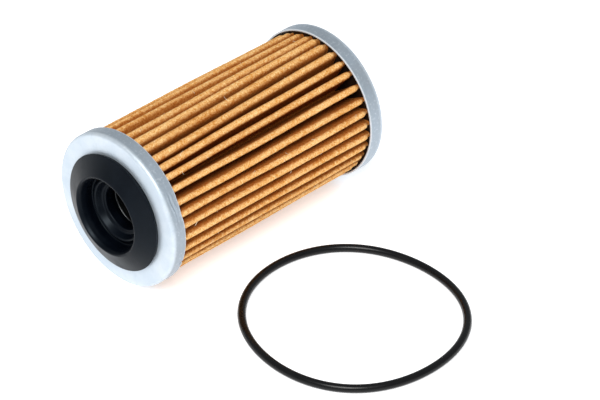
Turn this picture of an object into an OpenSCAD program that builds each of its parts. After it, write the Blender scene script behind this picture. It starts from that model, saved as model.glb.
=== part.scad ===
// Pleated paper cartridge oil filter for an automatic transmission, with its loose cover O-ring.
//
// The filter's axis runs along X. The end with the rubber seal faces -X and the closed end faces +X.
// The origin is on the axis, in the middle of the seal's inner land. The filter lies on its rims with
// +Z up, and the O-ring lies flat beside it on the -Y side, on the same surface.
// All sizes are in millimetres.

/* [End caps] */
// Outside diameter of both end caps
cap_d = 36; // [35.5:0.1:37]
// Length from the front cap's face to the rear cap's face
element_l = 64.5; // [55:0.5:80]
// Thickness of the zinc-plated sheet
sheet = 0.45; // [0.4:0.05:0.5]
// Depth of the front cap's rim
front_rim = 3.7; // [3.5:0.1:4.5]
// Depth of the rear cap's rim
rear_rim = 4.0; // [3.5:0.1:4.5]
// Outside radius of the bend between a face and its rim
bend_r = 0.8; // [0.7:0.1:1]
// Diameter of the front cap's hole, where the seal is held
seal_hole_d = 22; // [20:0.5:23]

/* [Rubber seal] */
// Diameter of the land that grips the oil spigot
land_d = 10.2; // [9.8:0.1:10.6]
// Length of that land along the axis
land_l = 2; // [1.6:0.1:2]
// Depth of the land's front edge behind the front cap's face
land_depth = 1.6; // [1.4:0.1:2]
// Diameter of the front flange
flange_d = 27.5; // [26:0.1:30]
// Thickness of the front flange at its edge
flange_t = 0.95; // [0.7:0.05:1.1]
// Height of the nose ahead of the front cap's face
nose_h = 3.2; // [2.5:0.1:4]
// Diameter of the opening at the nose
mouth_d = 16.8; // [16.5:0.1:17.8]
// Depth of the pocket's groove behind the front cap's face
groove_depth = 0.9; // [0.6:0.1:1.2]
// Diameter of the bead inside that groove
bead_d = 14.2; // [13.5:0.1:14.6]
// Diameter of the flange behind the front cap's sheet
back_flange_d = 25.2; // [24:0.1:26]
// Depth of the back flange behind the front cap's face
back_flange_depth = 2.4; // [2.2:0.1:2.4]

/* [Filter paper] */
// Number of pleats
pleat_count = 36; // [30:1:38]
// Diameter over the pleats' outer folds
pleat_d = 34.8; // [33:0.1:34.8]
// Diameter of the valleys between the pleats
valley_d = 16.4; // [16.2:0.1:17]
// Radius of an outer fold
fold_r = 0.72; // [0.65:0.01:0.8]
// Thickness of the paper
paper_t = 0.5; // [0.4:0.05:0.55]
// Depth of the paper's ends behind the cap faces
paper_depth = 2.6; // [2.5:0.1:2.8]
// Depth of the adhesive's surface behind the cap faces
glue_depth = 3.2; // [3:0.1:3.4]

/* [Centre tube] */
// Outside diameter of the perforated tube
tube_d = 13.6; // [13.4:0.1:13.8]
// Thickness of its wall
tube_t = 0.5; // [0.4:0.05:0.6]
// Diameter of its drain holes
drain_d = 2.8; // [2:0.1:3]
// Number of rings of drain holes
drain_rows = 8; // [4:1:8]

/* [Bypass valve] */
// Diameter of the port in the rear cap
port_d = 6.6; // [5:0.1:7]
// Diameter of the dish round the port, at the cap's face
dish_d = 15.2; // [15:0.1:16]
// Depth of that dish
dish_depth = 1.6; // [1.4:0.1:1.8]
// Outside diameter of the spring cage
cage_d = 12.3; // [12:0.1:12.4]
// Length of the spring cage
cage_l = 10.5; // [9:0.5:12]
// Diameter of the valve plate
plate_d = 9; // [8.5:0.1:9.4]
// Thickness of the valve plate
plate_t = 0.6; // [0.5:0.1:0.8]
// Thickness of the rubber facing
facing_t = 0.8; // [0.6:0.1:1]
// Diameter of the valve stem
stem_d = 2.4; // [2:0.1:2.6]
// Diameter of the spring's wire
wire_d = 0.6; // [0.5:0.05:0.7]
// Outside diameter of the spring
spring_d = 6.6; // [6:0.1:7]
// Number of turns of the spring
spring_turns = 6.5; // [5:0.5:7]

/* [Cover O-ring] */
// Inside diameter of the O-ring
ring_id = 46.1; // [44:0.1:50]
// Diameter of its section
ring_section = 1.9; // [1.4:0.1:2]
// Distance of its centre behind the front cap's face
ring_x = 27.1; // [20:0.1:40]
// Distance of its centre to the side of the filter's axis
ring_y = 45.5; // [45:0.1:60]

/* [Hidden] */

$fn = 96;
cap_r = cap_d / 2;
cavity_r = cap_r - sheet;
floor_z = -cap_r;
front_x = -land_depth - land_l / 2;
rear_x = front_x + element_l;
bare_gap = 0.05;
tube_r = tube_d / 2;
bore_r = tube_r - tube_t;

// The rear cap's dish: its wall slopes from dish_r at the face to floor_r at the bottom
dish_run = 1.2;
dish_r = dish_d / 2;
floor_r = dish_r - dish_run;
dish_mitre = sheet * tan(atan2(dish_depth, dish_run) / 2);
seat_depth = dish_depth + sheet;
seat_x = rear_x - seat_depth;

// The valve parts stack up from the seat towards the front
plate_x = seat_x - facing_t - plate_t;
cage_x = seat_x - cage_l;
cage_t = 0.5;
spring_l = plate_x - cage_x - cage_t;
stem_beyond_cage = 1.6;
stem_clearance = 0.06;

// Draws its children along the filter's axis, starting at x and growing towards +X
module on_axis(x) translate([x, 0, 0]) rotate([0, 90, 0]) children();

// Draws its children from the rear cap's face at rear_x, growing towards -X
module from_rear() translate([rear_x, 0, 0]) rotate([0, -90, 0]) children();

// Half of a cup's section, filled, with a rounded corner: [radius, depth behind the face]
module cup_half(r, top, corner, depth) {
    translate([0, top + corner]) square([r, depth - corner]);
    translate([0, top]) square([r - corner, depth]);
    translate([r - corner, top + corner]) circle(corner);
}

// The pressed sheet's section from radius inner outwards, over the bend and down the rim
module cap_section(rim, inner) {
    intersection() {
        difference() {
            cup_half(cap_r, 0, bend_r, rim);
            cup_half(cavity_r, sheet, bend_r - sheet, rim + 1);
        }
        translate([inner, 0]) square([cap_r, rim]);
    }
}

module front_end_cap() color([0.82, 0.86, 0.9])
    on_axis(front_x) rotate_extrude() cap_section(front_rim, seal_hole_d / 2);

// The dish overlaps the flat face by half of lap_w, so that the two join
lap_w = 1;
module rear_end_cap() color([0.82, 0.86, 0.9]) from_rear() {
    rotate_extrude() cap_section(rear_rim, dish_r + lap_w / 2);
    rotate_extrude() polygon([
        [dish_r + lap_w, 0], [dish_r, 0], [floor_r, dish_depth], [port_d / 2, dish_depth],
        [port_d / 2, seat_depth], [floor_r + dish_mitre, seat_depth], [dish_r + dish_mitre, sheet],
        [dish_r + lap_w, sheet]
    ]);
}

// Points of an arc about a centre, from angle a0 to a1
function arc(centre, r, a0, a1, steps = 6) =
    [for (i = [0 : steps]) centre + r * [cos(a0 + (a1 - a0) * i / steps), sin(a0 + (a1 - a0) * i / steps)]];

// The seal's section as [radius, depth behind the cap's face]: front flange, nose, pocket, land, back flange
neck_end = land_depth + land_l + 1.2;
neck_r = bore_r - bare_gap;
crest_r = 0.5;
flange_r = flange_d / 2;
mouth_r = mouth_d / 2;
bead_r = bead_d / 2;
seal_points = concat(
    [[seal_hole_d / 2, 0]],
    [[flange_r - 0.1, 0], [flange_r, -0.1]],
    arc([flange_r - 0.15, -flange_t + 0.15], 0.15, 0, -60, 3),
    arc([mouth_r + crest_r, -nose_h + crest_r], crest_r, -60, -180, 8),
    [[mouth_r, -1]],
    arc([mouth_r - 0.1, groove_depth - 0.35], 0.35, 0, 90, 4),
    [[bead_r + 0.55, groove_depth]],
    arc([bead_r + 0.25, 0.25], 0.25, 290, 180, 4),
    [[bead_r - 0.3, land_depth], [land_d / 2 + 0.15, land_depth], [land_d / 2, land_depth + 0.15]],
    [[land_d / 2, land_depth + land_l]],
    [[land_d / 2 + 0.5, neck_end], [neck_r, neck_end], [neck_r, back_flange_depth]],
    [[back_flange_d / 2 - 0.3, back_flange_depth], [back_flange_d / 2, back_flange_depth - 0.3]],
    [[back_flange_d / 2, sheet], [seal_hole_d / 2, sheet]]
);

module seal_grommet() color([0.1, 0.11, 0.13]) on_axis(front_x) rotate_extrude() polygon(seal_points);

// A point given as [radial, tangential] on the pleat whose middle is at angle a
function on_pleat(p, a) = [p[0] * cos(a) - p[1] * sin(a), p[0] * sin(a) + p[1] * cos(a)];

pitch = 360 / pleat_count;
fold_centre = pleat_d / 2 - fold_r;
valley_r = valley_d / 2;
valley_gap = 0.12;

// The paper's outer face: round each outer fold, then across the flat bottom of a valley
paper_outside = [for (i = [0 : pleat_count - 1]) each concat(
    [for (p = arc([fold_centre, 0], fold_r, -90, 90)) on_pleat(p, i * pitch)],
    [for (side = [-1, 1]) on_pleat([valley_r, side * valley_gap], (i + 0.5) * pitch)]
)];

// The paper's inner face: inside each outer fold, then round the fold that faces the centre tube
paper_inside = [for (i = [0 : pleat_count - 1]) each concat(
    [for (p = arc([fold_centre, 0], fold_r - paper_t, -90, 90, 4)) on_pleat(p, i * pitch)],
    [for (p = arc([valley_r, 0], valley_gap + paper_t, 270, 90, 4)) on_pleat(p, (i + 0.5) * pitch)]
)];

paper_l = element_l - 2 * paper_depth;
module pleats() {
    on_axis(front_x + paper_depth) linear_extrude(paper_l) difference() {
        polygon(paper_outside);
        polygon(paper_inside);
    }
}

module pleated_paper() color([0.85, 0.6, 0.3]) pleats();

// The paper strip's two ends are glued together inside one pleat, on the side away from the O-ring
seam_pleat = 6;
seam_out = fold_centre - 0.6;
seam_in = valley_r + 0.5;
seam_gap = 0.1;
seam_widening = 0.012;
function seam_half(v) = seam_gap + seam_widening * (v - valley_r) - 0.02;
module seam_glue() color([0.9, 0.85, 0.7])
    on_axis(front_x + glue_depth) linear_extrude(element_l - 2 * glue_depth) polygon([
        for (p = [[seam_in, -seam_half(seam_in)], [seam_out, -seam_half(seam_out)],
                  [seam_out, seam_half(seam_out)], [seam_in, seam_half(seam_in)]])
            on_pleat(p, seam_pleat * pitch)
    ]);

// Each ring of drain holes is turned half a step from the one before
drains_per_row = 6;
tube_x = front_x + back_flange_depth;
tube_l = seat_x - tube_x;
drain_start = 6;
drain_pitch = (cage_x - tube_x - 2 * drain_start) / (drain_rows - 1);
module centre_tube() color([0.75, 0.77, 0.8]) difference() {
    on_axis(tube_x) difference() {
        cylinder(tube_l, r = tube_r);
        translate([0, 0, -1]) cylinder(tube_l + 2, r = bore_r);
    }
    for (row = [0 : drain_rows - 1], k = [0 : drains_per_row - 1])
        translate([tube_x + drain_start + row * drain_pitch, 0, 0])
            rotate([(k + (row % 2) / 2) * 360 / drains_per_row, 0, 0])
                translate([0, 0, bore_r - 1]) cylinder(tube_t + 2, d = drain_d, $fn = 24);
}

// The adhesive fills the cap round the seal's back flange, and the pleat ends stand in it
module front_adhesive() color([0.2, 0.16, 0.12]) difference() {
    on_axis(front_x) rotate_extrude() polygon([
        [back_flange_d / 2, sheet], [cap_r - bend_r, sheet], [cavity_r, bend_r], [cavity_r, glue_depth],
        [tube_r, glue_depth], [tube_r, back_flange_depth], [back_flange_d / 2, back_flange_depth]
    ]);
    pleats();
}

module rear_adhesive() color([0.2, 0.16, 0.12]) difference() {
    from_rear() rotate_extrude() polygon([
        [dish_r + dish_mitre, sheet], [cap_r - bend_r, sheet], [cavity_r, bend_r], [cavity_r, glue_depth],
        [tube_r, glue_depth], [tube_r, seat_depth], [floor_r + dish_mitre, seat_depth]
    ]);
    pleats();
}

// A cup over the valve, with two crossing pairs of windows and a guide hole for the stem
window_w = 4;
window_l = 6;
window_start = 2.2;
module bypass_cage() color([0.7, 0.72, 0.75]) on_axis(cage_x) difference() {
    cylinder(cage_l, d = cage_d);
    translate([0, 0, cage_t]) cylinder(cage_l, d = cage_d - 2 * cage_t);
    translate([0, 0, -1]) cylinder(cage_t + 2, r = stem_d / 2 + stem_clearance);
    for (a = [0, 90]) rotate(a)
        translate([-cage_d, -window_w / 2, window_start]) cube([2 * cage_d, window_w, window_l]);
}

module bypass_valve() color([0.78, 0.8, 0.82]) on_axis(plate_x) {
    cylinder(plate_t, d = plate_d);
    translate([0, 0, -spring_l - cage_t - stem_beyond_cage])
        cylinder(spring_l + cage_t + stem_beyond_cage + plate_t / 2, d = stem_d);
}

module bypass_facing() color([0.12, 0.12, 0.14])
    on_axis(plate_x + plate_t) cylinder(facing_t, d = plate_d - 0.2);

// The wire's centre line: its ends lie flat for a turn each, and the turns between rise evenly
wire_steps = 18;
wire_sides = 6;
coil_r = (spring_d - wire_d) / 2;
spring_rise = spring_l - 2 * bare_gap - wire_d;
end_rise = 1.1 * wire_d;
function rise(turn) =
    turn < 1 ? end_rise * turn
    : turn > spring_turns - 1 ? spring_rise - end_rise * (spring_turns - turn)
    : end_rise + (spring_rise - 2 * end_rise) * (turn - 1) / (spring_turns - 2);
function wire_ring(turn) = [for (k = [0 : wire_sides - 1])
    let (a = 360 * k / wire_sides, r = coil_r + wire_d / 2 * cos(a))
    [r * cos(360 * turn), r * sin(360 * turn), rise(turn) + wire_d / 2 * (1 + sin(a))]];
wire_rings = spring_turns * wire_steps;
wire_points = [for (i = [0 : wire_rings]) each wire_ring(i / wire_steps)];
wire_faces = concat(
    [for (i = [0 : wire_rings - 1], k = [0 : wire_sides - 1])
        let (next = (k + 1) % wire_sides, low = i * wire_sides, high = low + wire_sides)
        [low + k, high + k, high + next, low + next]],
    [[for (k = [0 : wire_sides - 1]) k]],
    [[for (k = [wire_sides - 1 : -1 : 0]) wire_rings * wire_sides + k]]
);
module bypass_spring() color([0.6, 0.62, 0.65])
    on_axis(cage_x + cage_t + bare_gap) polyhedron(wire_points, wire_faces);

module cover_o_ring() color([0.08, 0.08, 0.09])
    translate([front_x + ring_x, -ring_y, floor_z + ring_section / 2])
        rotate_extrude() translate([(ring_id + ring_section) / 2, 0]) circle(d = ring_section, $fn = 32);

front_end_cap();
rear_end_cap();
seal_grommet();
pleated_paper();
seam_glue();
centre_tube();
front_adhesive();
rear_adhesive();
bypass_cage();
bypass_valve();
bypass_facing();
bypass_spring();
cover_o_ring();
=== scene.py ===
import bmesh
import bpy
import numpy as np
from mathutils import Matrix, Vector


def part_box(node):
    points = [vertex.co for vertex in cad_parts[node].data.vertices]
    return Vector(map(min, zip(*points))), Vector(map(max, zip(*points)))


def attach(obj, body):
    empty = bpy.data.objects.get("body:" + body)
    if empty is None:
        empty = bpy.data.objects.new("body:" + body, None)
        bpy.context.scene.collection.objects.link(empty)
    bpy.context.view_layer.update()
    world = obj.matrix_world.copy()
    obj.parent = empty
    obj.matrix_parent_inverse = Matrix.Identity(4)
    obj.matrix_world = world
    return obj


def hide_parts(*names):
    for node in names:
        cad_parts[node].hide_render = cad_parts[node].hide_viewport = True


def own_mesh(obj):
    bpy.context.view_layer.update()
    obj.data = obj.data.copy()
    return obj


# A pleated paper oil filter lying on its two steel caps, with its cover O-ring beside it.
# Lengths in the dictionaries are millimetres and angles are degrees, unless a note says otherwise.
# "Turn" is the angle about the filter's axis, from straight up towards the O-ring's side.
# "Depth" is measured from a cap's outer face into the filter.

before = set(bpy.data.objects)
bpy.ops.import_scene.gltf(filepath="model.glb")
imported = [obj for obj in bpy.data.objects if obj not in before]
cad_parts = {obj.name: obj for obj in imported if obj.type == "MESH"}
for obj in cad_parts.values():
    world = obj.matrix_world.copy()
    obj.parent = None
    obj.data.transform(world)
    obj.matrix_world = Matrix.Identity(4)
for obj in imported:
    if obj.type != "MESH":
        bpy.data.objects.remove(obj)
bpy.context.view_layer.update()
mm = 0.001

frontLow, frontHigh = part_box("front_end_cap")
rearLow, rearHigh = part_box("rear_end_cap")
frontFace = frontLow.x / mm
rearFace = rearHigh.x / mm
capRadius = frontHigh.z / mm
frontRim = (frontHigh.x - frontLow.x) / mm
rearRim = (rearHigh.x - rearLow.x) / mm
floorHeight = frontLow.z
print("frame loaded:", len(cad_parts), "CAD nodes, caps", round(2 * capRadius, 2), "mm across")


def meshPiece(name, points, quads, weld=False):
    # a smooth mesh from an array of points and an array of quads, turned so that its faces point outwards
    a, b, c, d = (points[quads[:, k]] for k in range(4))
    volume = (a * np.cross(b, c)).sum() + (a * np.cross(c, d)).sum()
    if volume < 0:
        quads = quads[:, ::-1]
    mesh = bpy.data.meshes.new(name)
    mesh.vertices.add(len(points))
    mesh.vertices.foreach_set("co", np.ascontiguousarray(points, np.float32).ravel())
    mesh.loops.add(quads.size)
    mesh.loops.foreach_set("vertex_index", np.ascontiguousarray(quads, np.int32).ravel())
    mesh.polygons.add(len(quads))
    mesh.polygons.foreach_set("loop_start", np.arange(0, quads.size, 4, dtype=np.int32))
    mesh.update(calc_edges=True)
    if weld:
        welded = bmesh.new()
        welded.from_mesh(mesh)
        bmesh.ops.remove_doubles(welded, verts=welded.verts, dist=1e-7)
        welded.to_mesh(mesh)
        welded.free()
    mesh.validate()
    mesh.shade_smooth()
    piece = bpy.data.objects.new(name, mesh)
    bpy.context.scene.collection.objects.link(piece)
    return piece


def gridQuads(rows, columns, wrapRows=True):
    # the quads of a grid of points whose columns close into rings, and whose rows may too
    row = np.arange(rows if wrapRows else rows - 1)[:, None]
    column = np.arange(columns)[None, :]
    nextRow, nextColumn = (row + 1) % rows, (column + 1) % columns
    corners = [row * columns + column, row * columns + nextColumn,
               nextRow * columns + nextColumn, nextRow * columns + column]
    return np.stack(corners, -1).reshape(-1, 4)


def gridPiece(name, points, wrapRows=True, weld=False):
    # a mesh from a grid of points in millimetres
    rows, columns = points.shape[:2]
    quads = gridQuads(rows, columns, wrapRows)
    return meshPiece(name, points.reshape(-1, 3) * mm, quads, weld)


def placePiece(piece, body, slot, material, *nodes):
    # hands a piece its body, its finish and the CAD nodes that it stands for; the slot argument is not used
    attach(piece, body)
    if nodes:
        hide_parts(*nodes)
    piece.data.materials.append(material)
    print("  made", piece.name, "with", len(piece.data.polygons), "faces")


def roundedLoop(corners, step):
    # a closed outline through corners (radius, depth, rounding): straight between them, and an arc of that
    # rounding at each, with points about one step apart
    corners = np.array(corners, float)
    outline = []
    starts, ends, arcs = [], [], []
    for here, before, after in zip(corners, np.roll(corners, 1, 0), np.roll(corners, -1, 0)):
        toBefore, toAfter = before[:2] - here[:2], after[:2] - here[:2]
        u, v = toBefore / np.linalg.norm(toBefore), toAfter / np.linalg.norm(toAfter)
        half = np.arccos(np.clip(u @ v, -1, 1)) / 2
        reach = min(here[2] / np.tan(half), 0.49 * np.linalg.norm(toBefore), 0.49 * np.linalg.norm(toAfter))
        radius = reach * np.tan(half)
        centre = here[:2] + (u + v) / max(np.linalg.norm(u + v), 1e-9) * radius / np.sin(half)
        first, last = here[:2] + u * reach, here[:2] + v * reach
        sweep = np.pi - 2 * half
        count = max(2, int(np.ceil(radius * sweep / step * 2)) + 1)
        part = np.linspace(0, 1, count)[:, None]
        fromFirst, fromLast = np.sin((1 - part) * sweep), np.sin(part * sweep)
        blend = fromFirst * (first - centre) + fromLast * (last - centre)
        arcs.append(centre + blend / max(np.sin(sweep), 1e-9))
        starts.append(first)
        ends.append(last)
    for k, arc in enumerate(arcs):
        following = starts[(k + 1) % len(arcs)]
        count = max(1, int(np.ceil(np.linalg.norm(following - ends[k]) / step)))
        between = ends[k] + (following - ends[k]) * (np.arange(1, count) / count)[:, None]
        outline.append(arc)
        outline.append(between)
    return np.concatenate(outline)


def turned(radius, x, turn):
    # points at a radius and a place along the axis, turned from straight up towards the O-ring's side
    radius, x, turn = np.broadcast_arrays(radius, x, turn)
    return np.stack([x, -radius * np.sin(turn), radius * np.cos(turn)], -1)


def ripple(turn, along, seed, orders, wavelength):
    # a sum of waves that closes round the axis: cos(order * turn + along / wavelength + phase), from -1 to 1
    rng = np.random.default_rng(seed)
    total = 0
    for order in orders:
        pitch = rng.uniform(-1, 1) * 2 * np.pi / wavelength
        total = total + np.cos(order * turn + pitch * along + rng.uniform(0, 2 * np.pi))
    return total / len(orders)


class Wire:
    # one output of a shader node: arithmetic on it adds Math nodes
    def __init__(self, sheet, socket):
        self.sheet = sheet
        self.socket = socket

    def maths(self, operation, *values):
        # one Math node over wires and numbers
        return self.sheet.node("ShaderNodeMath", {"operation": operation}, values)

    def __add__(self, other):
        return self.maths("ADD", self, other)

    def __radd__(self, other):
        return self.maths("ADD", other, self)

    def __sub__(self, other):
        return self.maths("SUBTRACT", self, other)

    def __rsub__(self, other):
        return self.maths("SUBTRACT", other, self)

    def __mul__(self, other):
        return self.maths("MULTIPLY", self, other)

    def __rmul__(self, other):
        return self.maths("MULTIPLY", other, self)

    def __truediv__(self, other):
        return self.maths("DIVIDE", self, other)

    def clamped(self):
        # held between 0 and 1
        return self.maths("MINIMUM", self.maths("MAXIMUM", self, 0.0), 1.0)

    def between(self, low, high):
        # 0 below low, 1 above high, and a smooth step between them
        return self.sheet.node("ShaderNodeMapRange", {"interpolation_type": "SMOOTHSTEP"},
                               {"Value": self, "From Min": low, "From Max": high})


class Finish:
    # a material with one Principled shader, and one method that makes any other node
    def __init__(self, name, **constants):
        self.material = bpy.data.materials.new(name)
        self.material.use_nodes = True
        self.tree = self.material.node_tree
        self.shader = self.tree.nodes["Principled BSDF"]
        self.set(**constants)

    def set(self, **values):
        # feeds the Principled shader's inputs, named with underscores for their spaces
        for name, value in values.items():
            self.feed(self.shader.inputs[name.replace("_", " ")], value)

    def feed(self, socket, value):
        # links a wire to a socket, or sets the socket's value
        if isinstance(value, Wire):
            self.tree.links.new(value.socket, socket)
        elif socket.type == "RGBA" and len(value) == 3:
            socket.default_value = (*value, 1.0)
        else:
            socket.default_value = value

    def node(self, kind, settings=None, values=None, output=0):
        # any other shader node: its settings, then its inputs by name or in order
        made = self.tree.nodes.new(kind)
        for name, value in (settings or {}).items():
            setattr(made, name, value)
        pairs = values.items() if isinstance(values, dict) else enumerate(values or ())
        for name, value in pairs:
            self.feed(made.inputs[name], value)
        return Wire(self, made.outputs[output])

    def places(self, stretch=(1, 1, 1)):
        # the piece's own place in metres, stretched where the pattern runs one way
        where = self.node("ShaderNodeTexCoord", output="Object")
        if stretch == (1, 1, 1):
            return where
        return self.node("ShaderNodeMapping", None, {"Vector": where, "Scale": stretch})

    def radius(self):
        # distance from the filter's axis in millimetres
        flat = self.node("ShaderNodeVectorMath", {"operation": "MULTIPLY"}, {0: self.places(), 1: (0, 1, 1)})
        return self.node("ShaderNodeVectorMath", {"operation": "LENGTH"}, [flat], output="Value") / mm

    def along(self):
        # place along the filter's axis in millimetres
        return self.node("ShaderNodeSeparateXYZ", None, [self.places()], output="X") / mm

    def noise(self, size, detail=2.0, roughness=0.5, stretch=(1, 1, 1)):
        # cloudy noise from 0 to 1 whose features are about size millimetres across
        return self.node("ShaderNodeTexNoise", None,
                         {"Vector": self.places(stretch), "Scale": 1 / (size * mm), "Detail": detail,
                          "Roughness": roughness})

    def nearer(self, first, second):
        # the smaller of two distances, whichever side they lie on
        return first.maths("MINIMUM", first.maths("ABSOLUTE", first), second.maths("ABSOLUTE", second))

    def mix(self, factor, first, second):
        # the first colour where factor is 0, and the second where it is 1
        return self.node("ShaderNodeMix", {"data_type": "RGBA"}, {0: factor, 6: first, 7: second}, output=2)

    def bump(self, height, depth, strength=1.0, under=None):
        # height is 0 to 1, and depth is what 1 stands for in millimetres
        values = {"Height": height, "Distance": depth * mm, "Strength": strength}
        if under is not None:
            values["Normal"] = under
        return self.node("ShaderNodeBump", None, values)


zincLook = {
    "colour": (0.57, 0.645, 0.72),
    "bare": (0.65, 0.71, 0.77),
    "paintedShadeColour": (0.05, 0.09, 0.14),
    "paintedShadeFrom": (0.5, 1.3),  # where the painted shade on the rim's wall starts behind the face, and where it is darkest
    "rim": 0.42,  # how much of its brightness the rim's wall keeps under the painted shade
    "dull": (0.44, 0.51, 0.58),
    "bright": (0.84, 0.88, 0.92),
    "wallFrom": (0.9, 0.3),  # how far inside the outer radius the face gives way to the rim's wall
    "rubShare": 0.35,  # this and the next two are how strongly the marks and the edges' painted highlight cover the plating
    "speckShare": 0.3,
    "wornAndHighlightShare": 0.7,
    "metal": 0.6,
    "roughness": 0.5,
    "cloud": 5.0,  # this and the next five are the sizes of patterns
    "grain": 0.35,
    "rub": 1.6,
    "scratch": 0.12,
    "speck": 0.6,
    "dimple": 0.65,
    "unevenness": 0.1,  # how deep the dimples are
    "edgeWearAndHighlight": 0.3,  # how far in from a rim's edge the plating is rubbed bright and carries a painted highlight
}


def zincFinish():
    # pressed sheet with a clear zinc plating: cloudy patches, a fine grain, pale specks, duller rubbed
    # spots, painted shade on the rim's wall behind the face, and edges that are rubbed bright and carry a
    # painted highlight; the wall has more marks than the face, because that is where the filter is handled
    look = zincLook
    zinc = Finish("zincPlate", Metallic=look["metal"])
    cloud = zinc.noise(look["cloud"], 3.0)
    grain = zinc.noise(look["grain"], 3.0, 0.6)
    faceEnds, wallStarts = look["wallFrom"]
    wall = zinc.radius().between(capRadius - faceEnds, capRadius - wallStarts)
    rub = zinc.noise(look["rub"], 4.0, 0.7).between(0.52, 0.75) * (0.35 + 0.65 * wall)
    tone = zinc.mix(cloud.between(0.35, 0.7), look["colour"], look["bare"])
    along = zinc.along()
    toFace = zinc.nearer(along - frontFace, rearFace - along)
    # painted shade: the rim's wall is darkened behind the face, mottled by the cloud
    shade = toFace.between(*look["paintedShadeFrom"]) * wall * (0.7 + 0.6 * (cloud - 0.5))
    tone = zinc.mix(shade * (1 - look["rim"]), tone, look["paintedShadeColour"])
    tone = zinc.mix(rub * look["rubShare"], tone, look["dull"])
    speck = zinc.noise(look["speck"], 3.0, 0.75).between(0.54, 0.66) * (0.12 + 0.88 * wall)
    tone = zinc.mix(speck * look["speckShare"], tone, look["bright"])
    # the rims' edges: rubbed plating and a painted highlight where the edge catches the light
    toEdge = zinc.nearer(along - (frontFace + frontRim), along - (rearFace - rearRim))
    edge = 1 - toEdge.between(0.3 * look["edgeWearAndHighlight"], look["edgeWearAndHighlight"])
    zinc.set(Base_Color=zinc.mix(edge * look["wornAndHighlightShare"], tone, look["bright"]))
    zinc.set(Roughness=look["roughness"] + 0.12 * (grain - 0.5) + 0.14 * rub + 0.12 * speck + 0.25 * edge)
    lines = zinc.noise(look["scratch"], 2.0, 0.5, (1, 0.12, 0.12))
    ground = zinc.bump(grain * 0.6 + lines * 0.4, 0.012, 0.6)
    uneven = zinc.noise(look["dimple"], 4.0, 0.75)
    zinc.set(Normal=zinc.bump(uneven * (0.15 + 0.85 * wall) + speck * 0.2, look["unevenness"], 0.8, ground))
    return zinc.material


paperLook = {
    "tan": (0.72, 0.295, 0.052),
    "light": (1.0, 0.66, 0.30),
    "rust": (0.46, 0.145, 0.018),
    # deep and rust are the colours of the painted shade between the pleats; rust also colours the specks
    "deep": (0.30, 0.062, 0.004),
    "valleyShadeRadii": (17.34, 16.55),  # the radii where the painted shade between the pleats starts and is full
    "cloud": 7.0,  # this and the next four are the sizes of patterns
    "felt": 0.75,
    "speck": 0.4,
    "fibre": 0.34,
    "fuzz": 0.16,
    "speckShare": 0.7,  # this and the next are how strongly the specks and the painted shade between the pleats show
    "valleyShadeShare": 0.9,
    "lumps": 0.3,  # how high the felt's lumps stand
    "roughness": 0.95,
    "gloss": 0.04,
}


def paperFinish():
    # resin-cured filter paper: a felt of fibres and small lumps, mottled from orange tan to pale,
    # with painted shade that turns it browner down between the pleats
    look = paperLook
    paper = Finish("filterPaper", Roughness=look["roughness"], Specular_IOR_Level=look["gloss"])
    cloud = paper.noise(look["cloud"], 3.0)
    felt = paper.noise(look["felt"], 4.0, 0.75)
    fibre = paper.noise(look["fibre"], 3.0, 0.65)
    mottle = 0.5 + 0.8 * (cloud - 0.5) + 1.5 * (felt - 0.5) + 3.2 * (fibre - 0.5)
    tone = paper.mix(mottle.clamped(), look["tan"], look["light"])
    speck = 1 - paper.noise(look["speck"], 3.0, 0.75).between(0.3, 0.43)
    tone = paper.mix(speck * look["speckShare"], tone, look["rust"])
    # painted shade: the paper darkens to brown towards the valleys, down between the pleats
    down = 1 - (paper.radius() + 0.9 * (felt - 0.5)).between(look["valleyShadeRadii"][1], look["valleyShadeRadii"][0])
    paintedValleyShade = paper.mix(mottle.clamped(), look["deep"], look["rust"])
    paper.set(Base_Color=paper.mix(down * look["valleyShadeShare"], tone, paintedValleyShade))
    lumps = paper.bump(felt * 0.7 + fibre * 0.4, look["lumps"], 0.9)
    paper.set(Normal=paper.bump(paper.noise(look["fuzz"], 2.0, 0.6), 0.05, 0.6, lumps))
    return paper.material


sealLook = {
    "black": (0.0008, 0.0016, 0.0036),
    "bloom": (0.0022, 0.0038, 0.0072),
    "roughness": 0.36,
    "gloss": 0.15,
    "tint": (0.72, 0.87, 1.0),
}
ringLook = {
    "black": (0.0015, 0.0015, 0.002),
    "bloom": (0.003, 0.003, 0.0036),
    "roughness": 0.25,
    "gloss": 0.26,
    "tint": (1.0, 1.0, 1.0),
}
glueLook = {
    "black": (0.010, 0.006, 0.004),
    "bloom": (0.03, 0.018, 0.010),
    "roughness": 0.4,
    "gloss": 0.3,
    "tint": (1.0, 1.0, 1.0),
}


def rubberFinish(name, look):
    # moulded black rubber: even, with a faint bloom and a skin that isn't quite smooth
    rubber = Finish(name, IOR=1.5, Specular_IOR_Level=look["gloss"], Specular_Tint=look["tint"])
    bloom = rubber.noise(4.0, 4.0, 0.6).between(0.4, 0.75)
    skin = rubber.noise(0.12, 3.0, 0.6)
    rubber.set(Base_Color=rubber.mix(bloom * 0.6, look["black"], look["bloom"]))
    rubber.set(Roughness=look["roughness"] + 0.1 * bloom + 0.1 * (skin - 0.5))
    rubber.set(Normal=rubber.bump(skin, 0.006, 0.6))
    return rubber.material


tubeLook = {"colour": (0.13, 0.135, 0.14), "roughness": 0.36, "markStretch": (0.1, 1, 1)}
valveLook = {"colour": (0.7, 0.71, 0.72), "roughness": 0.25, "markStretch": (1, 1, 1)}
springLook = {"colour": (0.45, 0.45, 0.46), "roughness": 0.22, "markStretch": (1, 1, 1)}


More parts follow.
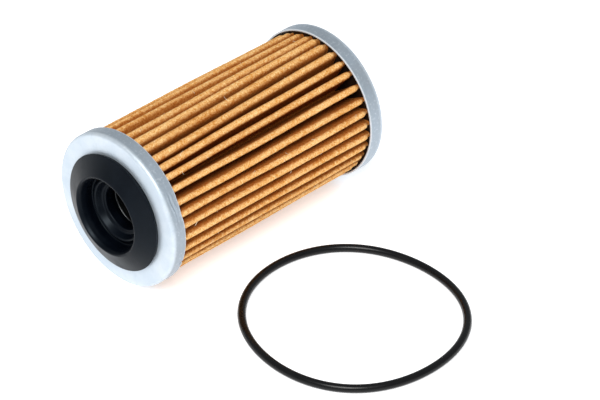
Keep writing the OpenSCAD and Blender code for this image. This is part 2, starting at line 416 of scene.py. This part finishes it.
def steelFinish(name, look):
    # bare rolled or drawn steel: fine marks along the way it was worked, and faint oil staining
    steel = Finish(name, Metallic=1.0)
    colour = look["colour"]
    stain = steel.noise(3.0, 3.0).between(0.4, 0.8)
    marks = steel.noise(0.15, 3.0, 0.6, look["markStretch"])
    steel.set(Base_Color=steel.mix(stain * 0.5, colour, tuple(0.72 * c for c in colour)))
    steel.set(Roughness=look["roughness"] + 0.12 * (marks - 0.5) + 0.08 * stain)
    steel.set(Normal=steel.bump(marks, 0.006, 0.5))
    return steel.material


seamLook = {"dark": (0.62, 0.52, 0.36), "pale": (0.8, 0.72, 0.56)}
fibreLook = {"dark": (0.86, 0.70, 0.45), "pale": (0.95, 0.88, 0.72)}


def waxFinish(name, look):
    # pale and slightly waxy, such as hot-melt glue or a resin-coated fibre
    wax = Finish(name, Roughness=0.5)
    cloud = wax.noise(0.8, 3.0)
    wax.set(Base_Color=wax.mix(cloud.between(0.3, 0.7), look["dark"], look["pale"]))
    wax.set(Normal=wax.bump(cloud, 0.03, 0.5))
    return wax.material


zinc = zincFinish()
paperTan = paperFinish()
sealRubber = rubberFinish("sealRubber", sealLook)
ringRubber = rubberFinish("ringRubber", ringLook)
darkGlue = rubberFinish("pottingGlue", glueLook)
tubeSteel = steelFinish("tubeSteel", tubeLook)
valveSteel = steelFinish("valveSteel", valveLook)
springSteel = steelFinish("springSteel", springLook)
seamWax = waxFinish("seamGlue", seamLook)
fibrePale = waxFinish("fibrePale", fibreLook)
print("finishes made")


capLook = {
    "sheet": 0.45,
    "bend": 0.8,
    "holeRadius": 11.0,
    "step": 0.16,
    "around": 720,
    "wave": 0.03,  # how far the pressed face wanders
    "creaseTurn": 63.5,
    "creaseDepth": 2.25,  # where it lies behind the face
    "creaseSize": (2.6, 0.2),  # half its length round the rim, and half its width
    "creaseHollow": 0.34,
    "dentTurn": 71.0,
    "dentDepth": 3.0,
    "dentSize": (1.7, 0.8),
    "dentHollow": 0.36,
    "nickTurn": 110.0,
    "nickWidth": 0.3,
    "nickHollow": 0.3,
}


def capCorners(rim, inner):
    # the sheet's section, from the hole or the middle out over the face, round the bend and down the rim
    look = capLook
    cavity = capRadius - look["sheet"]
    edge = 0.14
    return [
        (inner, 0, edge), (capRadius, 0, look["bend"]), (capRadius, rim, edge),
        (cavity, rim, edge), (cavity, look["sheet"], look["bend"] - look["sheet"]),
        (inner, look["sheet"], edge),
    ]


def capSurface(outline, seed):
    # radius and depth over the section and the turn; the face wanders inwards by up to wave
    look = capLook
    turn = np.arange(look["around"]) * 2 * np.pi / look["around"]
    radius = np.repeat(outline[:, :1], look["around"], 1)
    depth = np.repeat(outline[:, 1:], look["around"], 1)
    wander = 0.5 + 0.5 * ripple(turn[None, :], radius, seed, (2, 3, 5, 7), 9.0)
    depth = depth + look["wave"] * wander * np.clip((capRadius - radius) / 2, 0, 1)
    dimple = 0.5 + 0.5 * ripple(turn[None, :], depth, seed + 1, (3, 5, 8, 13, 21), 6.0)
    radius = radius - 0.5 * look["wave"] * dimple * np.clip((radius - capRadius + 2) / 2, 0, 1)
    return turn, radius, depth


def bruise(turn, radius, depth):
    # handling marks on the front rim, all pressed inwards: a long crease with a raised edge on each side,
    # a shallow dent that ends it, and a nick in the rim's edge; each is a bell shape in two directions
    look = capLook
    onRim = np.clip((radius - capRadius + 1.0) / 0.5, 0, 1)
    hollow = 0
    along = (turn[None, :] - np.radians(look["creaseTurn"])) * capRadius
    across = depth - look["creaseDepth"] - 0.1 * np.sin(1.3 * along) - 0.08 * along
    length, width = look["creaseSize"]
    spread = 1 / (1 + (along / length) ** 6)
    fold = np.exp(-(across / width) ** 2) - 0.6 * np.exp(-((np.abs(across) - 2 * width) / (0.8 * width)) ** 2)
    hollow = hollow + look["creaseHollow"] * spread * (fold + 0.6)
    along = (turn[None, :] - np.radians(look["dentTurn"])) * capRadius
    across = depth - look["dentDepth"] + 0.25 * along
    length, width = look["dentSize"]
    hollow = hollow + look["dentHollow"] * np.exp(-(along / length) ** 2 - (across / width) ** 2)
    fromNick = (turn[None, :] - np.radians(look["nickTurn"])) * capRadius
    cut = np.exp(-(fromNick / look["nickWidth"]) ** 4) * np.clip((depth - frontRim + 1.1) / 0.5, 0, 1)
    deepest = 0.9 * look["sheet"]  # so that no mark reaches the adhesive
    hollow = deepest * np.tanh((hollow + look["nickHollow"] * cut) / deepest)
    radius = radius - onRim * hollow
    depth = np.minimum(depth + 0.04 * onRim * cut, frontRim)
    return radius, depth


def frontCap():
    # the section turned about the axis, then bruised
    outline = roundedLoop(capCorners(frontRim, capLook["holeRadius"]), capLook["step"])
    turn, radius, depth = capSurface(outline, 11)
    radius, depth = bruise(turn, radius, depth)
    radius = np.minimum(radius, capRadius)
    piece = gridPiece("frontCap", turned(radius, frontFace + depth, turn[None, :]))
    placePiece(piece, "filter", "zinc_plated_steel", zinc, "front_end_cap")


dishLook = {"mouth": 7.6, "floor": 6.4, "depth": 1.6, "port": 3.3, "rounding": 0.45}


def rearCap():
    # the same pressing with a dish in its middle and the bypass port through the dish
    look = dishLook
    sheet = capLook["sheet"]
    shift = sheet / 2  # keeps the sheet's thickness down the slope
    corners = capCorners(rearRim, look["port"])[1:5] + [
        (look["mouth"] + shift, sheet, look["rounding"]), (look["floor"] + shift, look["depth"] + sheet, 0.2),
        (look["port"], look["depth"] + sheet, 0.14), (look["port"], look["depth"], 0.14),
        (look["floor"], look["depth"], look["rounding"]), (look["mouth"], 0, look["rounding"]),
    ]
    outline = roundedLoop(corners, capLook["step"])
    turn, radius, depth = capSurface(outline, 23)
    piece = gridPiece("rearCap", turned(np.minimum(radius, capRadius), rearFace - depth, turn[None, :]))
    placePiece(piece, "filter", "zinc_plated_steel", zinc, "rear_end_cap")


frontCap()
rearCap()
print("caps made")


sealShape = {
    "hole": 11.0,
    "flange": 13.75,
    "undercut": 0.4,  # how far the lip stands over its own foot
    "lip": 0.9,
    "crest": 8.95,
    "nose": 3.2,
    "mouth": 8.4,
    "groove": 0.9,  # how deep the pocket's groove goes behind the cap's face
    "bead": 7.0,
    "land": 5.1,
    "landFrom": 1.6,
    "landTo": 3.6,
    "neck": 6.25,
    "neckEnd": 4.8,
    "backFlange": 12.6,
    "backDepth": 2.4,
    "step": 0.12,
    "around": 360,
}


def sealGrommet():
    # the section turned about the axis: lip, sloping face, crest, pocket, bead, land, neck and back flange
    s = sealShape
    sheet = capLook["sheet"]
    corners = [
        (s["hole"], 0, 0.1), (s["flange"] - s["undercut"], 0, 0.1), (s["flange"], -s["lip"], 0.07),
        (s["crest"] + 0.15, -s["nose"], 0.4), (s["mouth"] + 0.2, -s["nose"] + 0.85, 1.4),
        (s["mouth"] - 0.1, -1.0, 2.0), (s["mouth"] + 0.25, s["groove"], 0.7),
        (s["bead"] + 0.9, s["groove"] + 0.1, 0.5), (s["bead"] + 0.05, -0.3, 0.8),
        (s["bead"] - 0.95, s["landFrom"], 0.5), (s["land"], s["landFrom"], 0.35),
        (s["land"], s["landTo"], 0.2), (s["land"] + 0.5, s["neckEnd"], 0.15),
        (s["neck"], s["neckEnd"], 0.2), (s["neck"], s["backDepth"], 0.15),
        (s["backFlange"], s["backDepth"], 0.3), (s["backFlange"], sheet, 0.1), (s["hole"], sheet, 0.05),
    ]
    outline = roundedLoop(corners, s["step"])
    turn = np.arange(s["around"]) * 2 * np.pi / s["around"]
    wander = 0.025 * ripple(turn[None, :], outline[:, 1:], 5, (2, 3, 4), 20.0)
    free = np.clip(-outline[:, 1:] / 2, 0, 1)
    points = turned(outline[:, :1] + wander * free, frontFace + outline[:, 1:], turn[None, :])
    piece = gridPiece("sealGrommet", points)
    placePiece(piece, "filter", "seal_rubber", sealRubber, "seal_grommet")


beadShape = {"outer": 6.45, "inner": 5.75, "from": 4.95, "to": 5.8, "around": 240, "step": 0.08}


def tubeBead():
    # the centre tube's wall rolled inwards just behind the seal's neck
    s = beadShape
    corners = [(s["outer"], s["from"], 0.05), (s["inner"], s["from"], 0.3), (s["inner"], s["to"], 0.4),
               (s["outer"], s["to"], 0.05)]
    outline = roundedLoop(corners, s["step"])
    turn = np.arange(s["around"]) * 2 * np.pi / s["around"]
    piece = gridPiece("tubeBead", turned(outline[:, :1], frontFace + outline[:, 1:], turn[None, :]))
    placePiece(piece, "filter", "tube_steel", tubeSteel)


sealGrommet()
tubeBead()
print("seal made")


pleatShape = {
    "pleats": 36,
    "firstTurn": -18.3,
    "tip": 17.38,
    "foldWidth": 0.72,  # half the width of an outer fold
    "fullWidth": 0.3,  # how much wider the folds near the top are
    "fullTurn": (2, 26),  # where they are widest, and how widely that spreads
    "widthScatter": 0.03,
    "pinch": 0.16,  # how far the two legs close up behind the fold
    "thickness": 0.5,
    "valley": 8.2,
    "valleyGap": 0.12,
    "endDepth": 2.6,
    "lean": 7.2,  # how far the pleats near the top twist from one cap to the other
    "leanTurn": 14.0,
    "leanSpread": 30.0,
    "sideLean": (-1.2, 90.0, 14.0),  # the smaller twist at the side: how far, where, and how widely
    "crowding": ((2.2, -9, 14), (-1.0, 47, 11), (0.9, 112, 8)),  # pleats off their even places, the same way
    "regular": (50.0, 75.0),  # the middle of the regular pleats, and how far they reach to each side
    "turnScatter": (0.7, 0.25),  # of the less regular pleats, then of the regular ones
    "leanScatter": (0.8, 0.3),
    "wanderTurn": 0.55,
    "wanderTip": 0.07,
    "tuck": 0.45,  # how far the folds sink where they enter the rear cap
    "tuckFrom": (2.5, 1.3),  # how far from the paper's end that starts, and over what length it grows
    "frontTuck": 0.3,
    "frontTuckFrom": (2.4, 2.0),
    "roughTip": 0.015,
    "legs": (0.25, 0.55, 0.82),  # shares of a leg's height where it has points
    "outsideRows": 132,
    "insideRows": 24,
    "seam": 26,
}


def pleatPlaces(along):
    # for each place along the filter (0 front, 1 rear) and each pleat: its turn, its tip's radius and its
    # half width
    s = pleatShape
    rng = np.random.default_rng(36)
    index = np.arange(s["pleats"])
    turn = s["firstTurn"] + index * 360 / s["pleats"]
    turn = turn + sum(size * np.exp(-((turn - place) / spread) ** 2) for size, place, spread in s["crowding"])
    loose = np.abs(turn - s["regular"][0]) > s["regular"][1]
    scattered, neat = (rng.normal(0, size, s["pleats"]) for size in s["turnScatter"])
    turn = turn + np.where(loose, scattered, neat)
    lean = s["lean"] * np.exp(-((turn - s["leanTurn"]) / s["leanSpread"]) ** 2)
    size, place, spread = s["sideLean"]
    lean = lean + size * np.exp(-((turn - place) / spread) ** 2)
    scattered, neat = (rng.normal(0, size, s["pleats"]) for size in s["leanScatter"])
    lean = lean + np.where(loose, scattered, neat)
    along = along[:, None]
    phase = rng.uniform(0, 2 * np.pi, (3, s["pleats"]))
    sway = np.sin(np.pi * along) * (np.sin(3.1 * along + phase[0]) + 0.4 * np.sin(9 * along + phase[1]))
    turn = turn[None, :] + lean[None, :] * (0.5 - along) + s["wanderTurn"] * sway
    length = rearFace - frontFace - 2 * s["endDepth"]
    toRear, toFront = (1 - along) * length, along * length
    rough = rng.normal(0, 1, (len(along), s["pleats"]))
    own = rng.normal(0, 0.6, s["pleats"])[None, :]
    tip = s["tip"] + s["wanderTip"] * (np.sin(7 * along + phase[2]) + own - 1)
    begins, reach = s["tuckFrom"]
    squeeze = np.clip((begins - toRear) / reach, 0, 1) ** 2
    begins, reach = s["frontTuckFrom"]
    tip = tip - s["tuck"] * squeeze - s["frontTuck"] * np.clip((begins - toFront) / reach, 0, 1) ** 2
    tip = tip + s["roughTip"] * rough
    place, spread = s["fullTurn"]
    full = s["fullWidth"] * np.exp(-((index * 360 / s["pleats"] + s["firstTurn"] - place) / spread) ** 2)
    half = s["foldWidth"] + full + rng.normal(0, s["widthScatter"], s["pleats"])[None, :]
    half = half + 0.04 * np.sin(5 * along + phase[1]) + 0.012 * np.roll(rough, 7, 0)
    return np.radians(turn), np.minimum(tip, s["tip"] + 0.05), half * (1 - 0.3 * squeeze)


def pleatOutside(turn, tip, half):
    # the face that the oil reaches: valley, leg, round fold, leg, valley, as (radial, tangential) on a pleat
    s = pleatShape
    halfStep = (np.roll(turn, -1, 1) - turn) % (2 * np.pi) / 2
    before = np.roll(halfStep, 1, 1)
    bend = np.radians(np.linspace(-90, 90, 7))
    radial = [s["valley"] * np.cos(before)]
    tangential = [-s["valley"] * np.sin(before) + s["valleyGap"]]
    base = tip - half
    for share in s["legs"]:
        bow = s["pinch"] * np.sin(np.pi * share ** 1.5) * (half / s["foldWidth"]) ** 2
        radial.append(radial[0] + (base - radial[0]) * share)
        tangential.append(tangential[0] + (-half - tangential[0]) * share + bow)
    for angle in bend:
        radial.append(base + half * np.cos(angle))
        tangential.append(half * np.sin(angle))
    valleyR, valleyT = s["valley"] * np.cos(halfStep), s["valley"] * np.sin(halfStep) - s["valleyGap"]
    for share in s["legs"][::-1]:
        bow = s["pinch"] * np.sin(np.pi * share ** 1.5) * (half / s["foldWidth"]) ** 2
        radial.append(valleyR + (base - valleyR) * share)
        tangential.append(valleyT + (half - valleyT) * share - bow)
    radial.append(valleyR)
    tangential.append(valleyT)
    return np.stack(radial, -1), np.stack(tangential, -1)


def pleatInside(turn, tip, half):
    # the face towards the centre tube, one paper's thickness in from the outside, with as many points
    s = pleatShape
    halfStep = (np.roll(turn, -1, 1) - turn) % (2 * np.pi) / 2
    before = np.roll(halfStep, 1, 1)
    gap = half - s["thickness"]
    base = tip - half
    fold = s["valleyGap"] + s["thickness"]
    radial, tangential = [], []
    for angle in np.radians([0, 35, 70]):
        down, across = s["valley"] - fold * np.cos(angle), fold * np.sin(angle)
        radial.append(down * np.cos(before) + across * np.sin(before))
        tangential.append(-down * np.sin(before) + across * np.cos(before))
    footR, footT = radial[-1], tangential[-1]
    for share in (0.45, 0.8):
        radial.append(footR + (base - footR) * share)
        tangential.append(footT + (-gap - footT) * share)
    for angle in np.radians([-90, -45, 0, 45, 90]):
        radial.append(base + gap * np.cos(angle))
        tangential.append(gap * np.sin(angle))
    mirroredR, mirroredT = [], []
    for angle in np.radians([35, 70]):
        down, across = s["valley"] - fold * np.cos(angle), fold * np.sin(angle)
        mirroredR.append(down * np.cos(halfStep) + across * np.sin(halfStep))
        mirroredT.append(down * np.sin(halfStep) - across * np.cos(halfStep))
    footR, footT = mirroredR[-1], mirroredT[-1]
    for share in (0.8, 0.45):
        radial.append(footR + (base - footR) * share)
        tangential.append(footT + (gap - footT) * share)
    radial += mirroredR[::-1] + [(s["valley"] - fold) * np.cos(halfStep)]
    tangential += mirroredT[::-1] + [(s["valley"] - fold) * np.sin(halfStep) - 0.01]
    return np.stack(radial, -1), np.stack(tangential, -1)


def pleatPoints(along, outline):
    # rows of points: an outline on each pleat, turned to that pleat's place
    turn, tip, half = pleatPlaces(along)
    radial, tangential = outline(turn, tip, half)
    radius = np.hypot(radial, tangential)
    angle = turn[..., None] + np.arctan2(tangential, radial)
    start, end = frontFace + pleatShape["endDepth"], rearFace - pleatShape["endDepth"]
    x = (start + (end - start) * along)[:, None, None]
    return turned(radius, x, angle).reshape(len(along), -1, 3)


def evenEnds(rows):
    # places from 0 to 1, closer together near both ends, where the folds are tucked in
    even = np.linspace(0, 1, rows)
    return even - 0.09 * np.sin(2 * np.pi * even)


def pleatedPaper():
    # the outside's rows from front to rear, then the inside's rows from rear to front, closed into one skin
    outside = pleatPoints(evenEnds(pleatShape["outsideRows"]), pleatOutside)
    inside = pleatPoints(evenEnds(pleatShape["insideRows"]), pleatInside)
    piece = gridPiece("pleatedPaper", np.concatenate([outside, inside[::-1]]))
    placePiece(piece, "filter", "filter_paper", paperTan, "pleated_paper")


seamShape = {"foot": 9.0, "belowTip": 1.1, "wave": 0.25, "halfWidth": (0.06, 0.15), "rows": 60}


def seamGlue():
    # a bead between the two layers of one pleat, where the strip's ends are joined: it follows that pleat
    s = pleatShape
    foot = seamShape["foot"]
    along = np.linspace(0.02, 0.98, seamShape["rows"])
    turn, tip, half = (places[:, s["seam"]][:, None] for places in pleatPlaces(along))
    share = np.array([0, 0.3, 0.6, 0.9, 1, 0.9, 0.6, 0.3])[None, :]
    side = np.array([0, -1, -1, -1, 0, 1, 1, 1])[None, :]
    wave = seamShape["wave"] * np.sin(9 * along)[:, None]
    radial = foot + (tip - seamShape["belowTip"] - foot) * share + wave * share
    narrow, wide = seamShape["halfWidth"]
    tangential = side * (narrow + (wide - narrow) * share)
    x = frontFace + s["endDepth"] + (rearFace - frontFace - 2 * s["endDepth"]) * along[:, None]
    rings = turned(np.hypot(radial, tangential), x, turn + np.arctan2(tangential, radial))
    ends = [np.broadcast_to(rings[k].mean(0), rings[k].shape)[None] for k in (0, -1)]
    piece = gridPiece("seamGlue", np.concatenate([ends[0], rings, ends[1]]), wrapRows=False, weld=True)
    placePiece(piece, "filter", "seam_glue", seamWax, "seam_glue")


fibreShape = {
    "count": 190,
    "length": (0.4, 1.7),
    "thickness": 0.035,
    "radius": 17.4,  # about where they lie
    "sections": 7,
    "sides": 4,
    "rows": 200,  # how finely the pleats are looked up
}


def paperFibres():
    # loose fibres on the folds: each is a thin closed tube along start + t * direction + t^2 * curl
    s = fibreShape
    rng = np.random.default_rng(91)
    count = s["count"]
    pleat = rng.integers(0, pleatShape["pleats"], count)
    along = rng.uniform(0.03, 0.97, count)
    turn, tip, half = pleatPlaces(np.linspace(0, 1, s["rows"]))
    row = (along * (s["rows"] - 1)).astype(int)
    turn, tip, half = turn[row, pleat], tip[row, pleat], half[row, pleat]
    lean = rng.uniform(-0.8, 0.8, count)
    radius = tip - half * (1 - np.cos(lean)) - 0.05
    turn = turn + half * np.sin(lean) / tip
    length = rng.uniform(*s["length"], count)
    t = np.linspace(0, 1, s["sections"])[None, :]
    drift, curl = rng.normal(0, 1, (2, 3, count, 1))
    start, end = frontFace + pleatShape["endDepth"], rearFace - pleatShape["endDepth"]
    x = start + (end - start) * along[:, None]
    x = x + length[:, None] * (0.45 * drift[0] * t + 0.3 * curl[0] * t ** 2)
    angle = turn[:, None] + length[:, None] / s["radius"] * (0.45 * drift[1] * t + 0.3 * curl[1] * t ** 2)
    height = radius[:, None] + length[:, None] * (0.16 * np.abs(drift[2]) * t - 0.12 * t ** 2)
    path = turned(np.minimum(height, capRadius - 0.1), x, angle)
    heading = path[:, -1] - path[:, 0]
    heading /= np.linalg.norm(heading, axis=-1, keepdims=True)
    across = np.cross(heading, path[:, 0] * (0, 1, 1))
    across /= np.linalg.norm(across, axis=-1, keepdims=True)
    up = np.cross(across, heading)
    around = 2 * np.pi * np.arange(s["sides"]) / s["sides"]
    thickness = s["thickness"] * np.clip(np.minimum(t, 1 - t) * 6, 0, 1)[..., None, None]
    ring = across[:, None, None] * np.cos(around)[:, None] + up[:, None, None] * np.sin(around)[:, None]
    points = (path[:, :, None] + thickness * ring).reshape(-1, 3)
    quads = gridQuads(s["sections"], s["sides"], wrapRows=False)
    quads = quads[None] + s["sections"] * s["sides"] * np.arange(count)[:, None, None]
    piece = meshPiece("paperFibres", points * mm, quads.reshape(-1, 4), weld=True)
    placePiece(piece, "filter", "filter_paper", fibrePale)


pleatedPaper()
seamGlue()
paperFibres()
print("paper folded")


glueShape = {
    "inner": 6.85,
    "outer": 17.5,
    "surface": 3.2,
    "floor": 0.5,
    "step": 0.35,
    "around": 540,
    "swell": 0.22,
}


def glueRing(name, face, direction, inner, node):
    # a ring that fills the cap, with a surface that wanders and creeps up the sheet and the tube
    s = glueShape
    corners = [(inner, s["floor"], 0.1), (s["outer"], s["floor"], 0.3),
               (s["outer"], s["surface"] + 0.25, 0.08),
               (s["outer"] - 0.7, s["surface"], 0.6), (s["inner"] + 0.5, s["surface"], 0.4),
               (s["inner"], s["surface"] + 0.2, 0.05), (s["inner"], 2.4, 0.05), (inner, 2.4, 0.05)]
    outline = roundedLoop(corners, s["step"])
    turn = np.arange(s["around"]) * 2 * np.pi / s["around"]
    free = np.clip((outline[:, 1:] - 2.6) / 0.4, 0, 1)
    swell = s["swell"] * ripple(turn[None, :], outline[:, :1], 71, (36, 36, 17, 9, 51), 4.0)
    points = turned(outline[:, :1], face + direction * (outline[:, 1:] + free * swell), turn[None, :])
    piece = gridPiece(name, points)
    placePiece(piece, "filter", "potting_adhesive", darkGlue, node)


glueRing("frontGlue", frontFace, 1, sealShape["backFlange"] + 0.05, "front_adhesive")
glueRing("rearGlue", rearFace, -1, dishLook["mouth"] + 0.4, "rear_adhesive")
print("adhesive poured")


springLow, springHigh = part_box("bypass_spring")
springShape = {
    "turns": 6.5,
    "wire": 0.6,
    "outer": (springHigh.z - springLow.z) / mm / 2,
    "endRise": 0.66,
    "stepsPerTurn": 48,
    "sides": 12,
}


def bypassSpring():
    # a helix whose first and last turns lie flat: x rises slowly over the end turns and evenly between them
    s = springShape
    low, high = springLow.x / mm + s["wire"] / 2, springHigh.x / mm - s["wire"] / 2
    turns = np.linspace(0, s["turns"], int(s["turns"] * s["stepsPerTurn"]) + 1)
    rises = [0, s["endRise"], high - low - s["endRise"], high - low]
    rise = np.interp(turns, [0, 1, s["turns"] - 1, s["turns"]], rises)
    angle = 2 * np.pi * turns
    coil = s["outer"] - s["wire"] / 2
    around = 2 * np.pi * np.arange(s["sides"]) / s["sides"]
    taper = np.ones_like(turns)
    taper[[0, -1]] = 0
    wire = s["wire"] / 2 * taper[:, None]
    radius = coil + wire * np.cos(around)[None, :]
    x = low + rise[:, None] + wire * np.sin(around)[None, :]
    piece = gridPiece("bypassSpring", turned(radius, x, angle[:, None]), wrapRows=False, weld=True)
    placePiece(piece, "filter", "spring_steel", springSteel, "bypass_spring")
    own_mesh(piece)


bypassSpring()


ringLow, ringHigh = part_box("cover_o_ring")
ringShape = {
    "section": (ringHigh.z - ringLow.z) / mm / 2,
    "around": 540,
    "sides": 32,
    "threeLobes": (0.256, 111.0),  # how far it is out of round, and where
    "fourLobes": (0.216, -176.0),
    "flash": 0.03,
}


def coverRing():
    # a round section carried along a nearly round path: middle + size * cos(lobes * turn + phase), with a
    # thin mould line standing out on its inside and outside
    s = ringShape
    centre = (ringLow + ringHigh) / 2 / mm
    middle = (ringHigh.x - ringLow.x) / mm / 2 - s["section"]
    turn = np.arange(s["around"]) * 2 * np.pi / s["around"]
    path = middle
    for lobes, (size, phase) in ((3, s["threeLobes"]), (4, s["fourLobes"])):
        path = path + size * np.cos(lobes * turn + np.radians(phase))
    around = 2 * np.pi * np.arange(s["sides"]) / s["sides"]
    section = s["section"] * (1 - s["flash"] + s["flash"] * np.exp(-(np.sin(around) / 0.12) ** 2))
    radius = path[:, None] + (section * np.cos(around))[None, :]
    z = centre.z + np.broadcast_to((s["section"] * np.sin(around))[None, :], radius.shape)
    x = centre.x + radius * np.cos(turn)[:, None]
    y = centre.y + radius * np.sin(turn)[:, None]
    points = np.stack([x, y, z], -1)
    piece = gridPiece("coverRing", points)
    placePiece(piece, "o_ring", "ring_rubber", ringRubber, "cover_o_ring")


coverRing()


# pieces that keep their CAD shape
for node, material in (("centre_tube", tubeSteel), ("bypass_cage", tubeSteel), ("bypass_valve", valveSteel),
                       ("bypass_facing", sealRubber)):
    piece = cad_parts[node]
    piece.data.materials.clear()
    piece.data.materials.append(material)
print("inner pieces finished")


stageLook = {
    "floor": (0.95, 0.95, 0.96),
    "glow": 0.5,
    "size": 6.0,  # metres
    "below": 0.00002,  # metres under the caps, so that no faces coincide
    "sky": (0.92, 0.97, 1.0),
    "skyStrength": 0.5,
}
lamps = {
    "mainSoft": {"from": (-0.7, -0.58, 1.1), "size": 0.75, "power": 16.5, "colour": (1.0, 0.99, 0.97)},
}
viewpoint = {
    "aim": (0.0264, -0.0267, 0.0027),  # metres
    "distance": 0.6,
    "azimuth": -46.4,
    "elevation": 36.0,
    "roll": 1.9,
    "lens": 168.0,
}


def stage():
    # a plain pale floor under the filter, and an even sky
    look = stageLook
    half = look["size"] / 2
    corners = np.array([[-half, -half], [half, -half], [half, half], [-half, half]])
    points = np.column_stack([corners, np.full(4, floorHeight - look["below"])])
    mesh = bpy.data.meshes.new("floor")
    mesh.from_pydata(points.tolist(), [], [(0, 1, 2, 3)])
    floor = bpy.data.objects.new("floor", mesh)
    bpy.context.scene.collection.objects.link(floor)
    paint = Finish("floorPaint", Roughness=0.9, Specular_IOR_Level=0.1, Base_Color=look["floor"],
                   Emission_Color=look["floor"], Emission_Strength=look["glow"])
    floor.data.materials.append(paint.material)
    world = bpy.data.worlds.new("studio")
    world.use_nodes = True
    world.node_tree.nodes["Background"].inputs["Color"].default_value = (*look["sky"], 1.0)
    world.node_tree.nodes["Background"].inputs["Strength"].default_value = look["skyStrength"]
    bpy.context.scene.world = world


def lamp(name, look):
    # a round soft light that faces the filter
    light = bpy.data.lights.new(name, "AREA")
    light.shape, light.size = "DISK", look["size"]
    light.energy, light.color = look["power"], look["colour"]
    holder = bpy.data.objects.new(name, light)
    holder.location = Vector(look["from"])
    holder.rotation_euler = (-Vector(look["from"])).to_track_quat("-Z", "Y").to_euler()
    bpy.context.scene.collection.objects.link(holder)


def camera():
    # stands distance away from aim, azimuth round from looking along +Y and elevation up, and leans by roll
    look = viewpoint
    azimuth, elevation, roll = np.radians([look["azimuth"], look["elevation"], look["roll"]])
    level = np.cos(elevation)
    back = Vector((np.sin(azimuth) * level, -np.cos(azimuth) * level, np.sin(elevation)))
    right = Vector((np.cos(azimuth), np.sin(azimuth), 0))
    up = back.cross(right)
    leaned = right * np.cos(roll) + up * np.sin(roll)
    place = Matrix((leaned, back.cross(leaned), back)).transposed().to_4x4()
    place.translation = Vector(look["aim"]) + back * look["distance"]
    lens = bpy.data.cameras.new("camera")
    lens.lens, lens.sensor_width = look["lens"], 36.0
    lens.clip_start, lens.clip_end = 0.01, 50.0
    holder = bpy.data.objects.new("camera", lens)
    holder.matrix_world = place
    bpy.context.scene.collection.objects.link(holder)
    bpy.context.scene.camera = holder


stage()
for name, look in lamps.items():
    lamp(name, look)
camera()
bpy.context.scene.view_settings.view_transform = "Standard"
print("stage, lamps and camera set")
